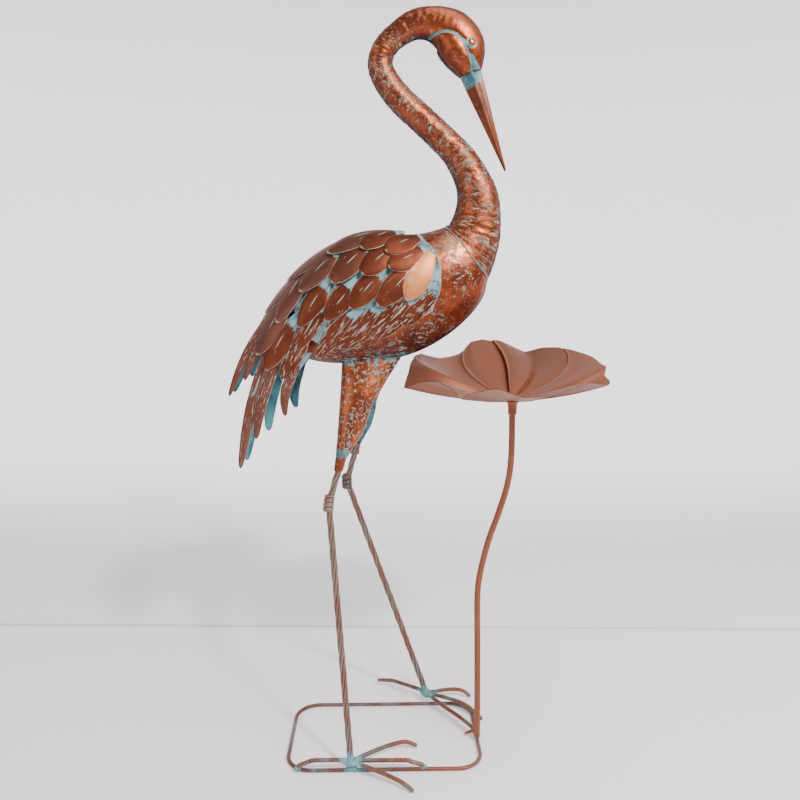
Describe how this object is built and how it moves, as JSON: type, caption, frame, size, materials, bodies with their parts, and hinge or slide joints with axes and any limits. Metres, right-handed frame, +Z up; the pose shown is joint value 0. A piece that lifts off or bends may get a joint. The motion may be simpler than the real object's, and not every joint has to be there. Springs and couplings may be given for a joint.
{
  "type": "crane garden statue",
  "caption": "Standing crane in painted sheet metal with shingled wing feathers, twisted wire legs on a rod base loop, and a lotus-leaf dish on a curved stem.",
  "frame": {"origin": "middle of the bounding box at the surface that the statue stands on", "axes": "+Z up, +X the way the crane faces, with the leaf dish in front of it, and its right side towards -Y"},
  "size_m": [0.5414, 0.2954, 1.0598],
  "materials": {
    "copper_paint": "copper paint over hammered sheet steel, with blue-green patina dabs",
    "dark_copper_paint": "darker copper paint with worn pale edges and patina between the feathers",
    "patina_paint": "blue-green patina paint, matt",
    "leg_wire_paint": "dull brown-grey paint on steel wire",
    "leaf_paint": "matt copper-brown paint",
    "eye_gold": "glossy gold paint"
  },
  "bodies": {
    "root": {"body_shell": "copper_paint", "neck_and_head": "copper_paint", "beak": "dark_copper_paint", "right_eye": "eye_gold", "right_wing_plate": "patina_paint", "right_wing_feathers_1": "dark_copper_paint", "right_wing_feathers_2": "dark_copper_paint", "right_wing_feathers_3": "dark_copper_paint", "right_wing_feathers_4": "dark_copper_paint", "right_wing_feathers_5": "dark_copper_paint", "right_tail_feather_1": "dark_copper_paint", "right_tail_feather_2": "dark_copper_paint", "right_tail_feather_3": "dark_copper_paint", "right_tail_feather_4": "dark_copper_paint", "right_tail_feather_5": "dark_copper_paint", "right_thigh": "copper_paint", "right_upper_leg_wires": "leg_wire_paint", "right_knee_collar": "leg_wire_paint", "right_lower_leg_wires": "leg_wire_paint", "right_foot_weld": "patina_paint", "left_eye": "eye_gold", "left_wing_plate": "patina_paint", "left_wing_feathers_1": "dark_copper_paint", "left_wing_feathers_2": "dark_copper_paint", "left_wing_feathers_3": "dark_copper_paint", "left_wing_feathers_4": "dark_copper_paint", "left_wing_feathers_5": "dark_copper_paint", "left_tail_feather_1": "dark_copper_paint", "left_tail_feather_2": "dark_copper_paint", "left_tail_feather_3": "dark_copper_paint", "left_tail_feather_4": "dark_copper_paint", "left_tail_feather_5": "dark_copper_paint", "left_thigh": "copper_paint", "left_upper_leg_wires": "leg_wire_paint", "left_knee_collar": "leg_wire_paint", "left_lower_leg_wires": "leg_wire_paint", "left_foot_weld": "patina_paint", "right_back_toe": "leg_wire_paint", "right_middle_toe": "leg_wire_paint", "right_inner_toe": "leg_wire_paint", "right_outer_toe": "leg_wire_paint", "left_back_toe": "leg_wire_paint", "left_far_toe": "leg_wire_paint", "left_middle_toe": "leg_wire_paint", "left_front_toe": "leg_wire_paint", "base_loop": "leg_wire_paint", "stem": "leaf_paint", "stem_collar": "leaf_paint", "leaf_dish": "leaf_paint"}
  },
  "joints": []
}
